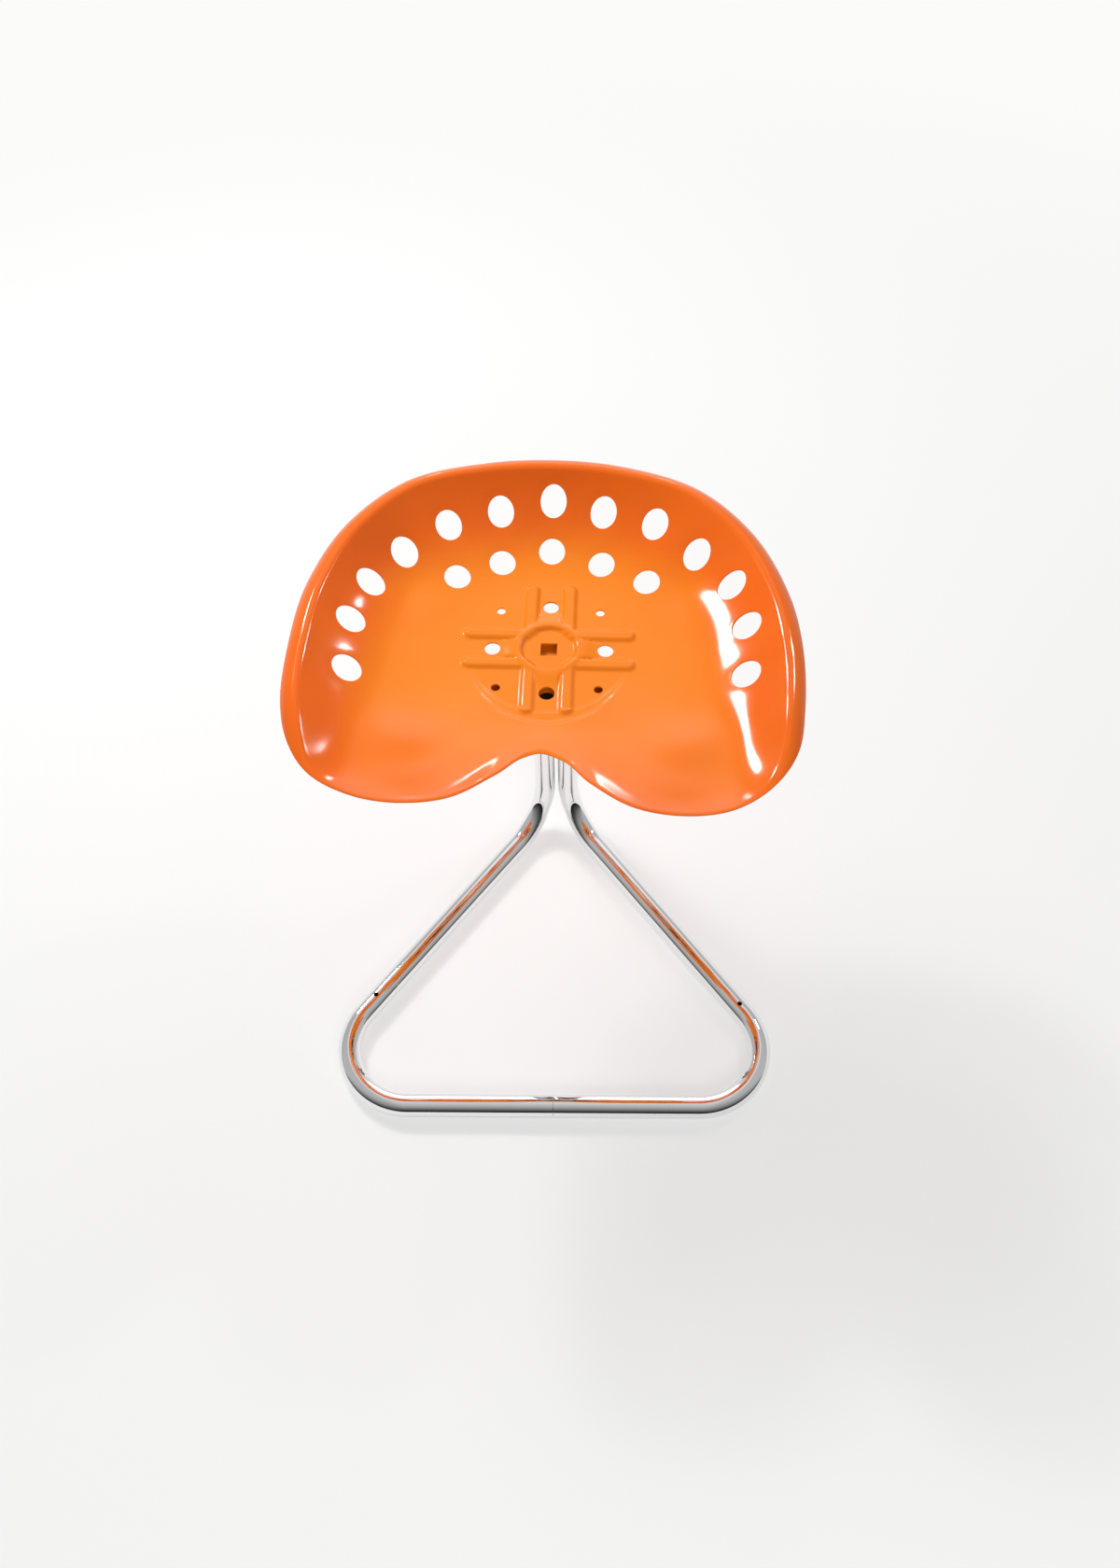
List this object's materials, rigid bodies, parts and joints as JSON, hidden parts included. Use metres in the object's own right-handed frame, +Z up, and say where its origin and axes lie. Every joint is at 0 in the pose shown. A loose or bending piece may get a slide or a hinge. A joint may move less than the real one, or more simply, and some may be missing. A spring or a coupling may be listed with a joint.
{
  "type": "tractor seat stool",
  "caption": "Low stool with a pressed, perforated tractor seat held on bent chromed tubes that lie on the floor as a triangle and rise as a column behind.",
  "frame": {"origin": "middle of the footprint, on the floor", "axes": "+Z up, +Y towards the back, where the column stands, -Y towards the front, where the seat has its notch, +X to the right seen from the front"},
  "size_m": [0.4948, 0.5458, 0.4595],
  "materials": {
    "orange_enamel": "glossy stoved enamel",
    "chromed_tube": "bright chrome plate",
    "zinc_steel": "bright zinc plate",
    "black_steel": "satin black paint",
    "black_plastic": "matt moulded",
    "black_rubber": "matt rubber"
  },
  "bodies": {
    "root": {"frame_tube_left": "chromed_tube", "frame_tube_right": "chromed_tube", "joint_sleeve": "zinc_steel", "seat_pan": "orange_enamel", "seat_carrier": "orange_enamel", "saddle_pad": "black_rubber", "front_tube_clamp": "black_steel", "rear_tube_clamp": "black_steel", "tube_plug_left": "black_plastic", "tube_plug_right": "black_plastic", "clamp_bolt_front_left": "zinc_steel", "flat_washer_front_left": "zinc_steel", "spring_washer_front_left": "zinc_steel", "clamp_bolt_front_right": "zinc_steel", "flat_washer_front_right": "zinc_steel", "spring_washer_front_right": "zinc_steel", "clamp_bolt_rear_left": "zinc_steel", "flat_washer_rear_left": "zinc_steel", "spring_washer_rear_left": "zinc_steel", "clamp_bolt_rear_right": "zinc_steel", "flat_washer_rear_right": "zinc_steel", "spring_washer_rear_right": "zinc_steel"}
  },
  "joints": []
}
